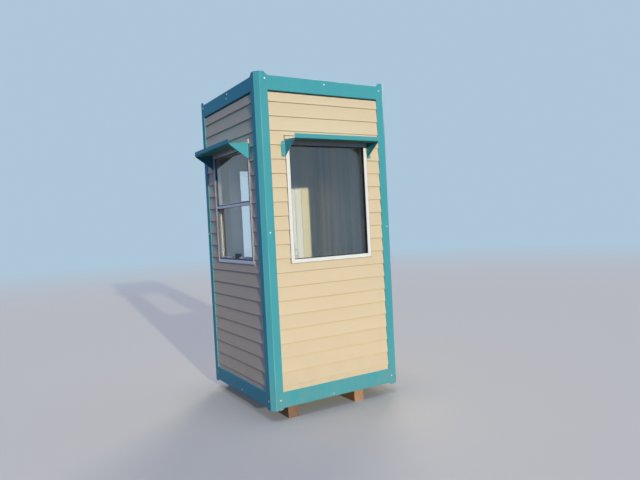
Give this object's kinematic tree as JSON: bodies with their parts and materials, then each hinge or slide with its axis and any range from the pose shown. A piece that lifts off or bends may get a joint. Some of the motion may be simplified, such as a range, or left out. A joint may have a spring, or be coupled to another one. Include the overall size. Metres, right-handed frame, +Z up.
{
  "type": "security guard booth",
  "caption": "Small square guard booth: bevelled steel corner posts, lapped siding, framed windows under metal canopies, a glazed rear door, on timber bearers.",
  "frame": {"origin": "middle of the bottom of the bounding box: on the ground, under the middle of the plan with its canopies and door handle", "axes": "+Z up, the front wall with the fixed window faces -Y, the side with the sliding window faces -X, the door is in the back wall at +Y"},
  "size_m": [1.36, 1.412, 2.614],
  "materials": {
    "timber": "sawn, weathered",
    "steel": "teal paint, semi-gloss",
    "floor_timber": "sawn",
    "floor_board": "sealed plywood",
    "inner_panel": "smooth, matte",
    "roof_metal": "galvanised and painted pale grey",
    "wall_core": "insulated panel",
    "siding": "beige vinyl, faint wood grain",
    "window_frame": "white, smooth",
    "glass": "clear",
    "canopy_metal": "teal paint, semi-gloss",
    "door_pvc": "white, smooth",
    "door_fittings": "white, smooth"
  },
  "bodies": {
    "booth": {"timber_bearer_left": "timber", "timber_bearer_right": "timber", "bottom_beam_front": "steel", "bottom_beam_back": "steel", "bottom_beam_left": "steel", "bottom_beam_right": "steel", "top_beam_front": "steel", "top_beam_back": "steel", "top_beam_left": "steel", "top_beam_right": "steel", "corner_post_front_left": "steel", "corner_post_front_right": "steel", "corner_post_back_left": "steel", "corner_post_back_right": "steel", "floor_joists": "floor_timber", "floor_deck": "floor_board", "ceiling_panel": "inner_panel", "roof_panel": "roof_metal", "front_wall": "wall_core", "left_wall": "wall_core", "right_wall": "wall_core", "back_wall_left": "wall_core", "back_wall_right": "wall_core", "back_wall_over_door": "wall_core", "front_siding": "siding", "left_siding": "siding", "right_siding": "siding", "back_siding": "siding", "inner_lining": "inner_panel", "front_window_frame": "window_frame", "front_window_glass": "glass", "left_window_frame": "window_frame", "left_window_sash": "window_frame", "left_window_glass": "glass", "window_head_trims": "siding", "front_canopy": "canopy_metal", "front_canopy_brackets": "canopy_metal", "left_canopy": "canopy_metal", "left_canopy_brackets": "canopy_metal", "door_frame": "door_pvc", "door_hinges": "door_fittings"},
    "door": {"door_leaf": "door_pvc", "door_glass": "glass", "door_panel": "door_pvc", "door_handles": "door_fittings", "door_hinge_leaves": "door_fittings"}
  },
  "joints": [
    {"name": "door_hinge", "type": "hinge", "parent": "booth", "child": "door", "pos_m": [-0.251, 0.663, 1.19], "axis": [0, 0, 1], "range_deg": [0, 100]}
  ]
}
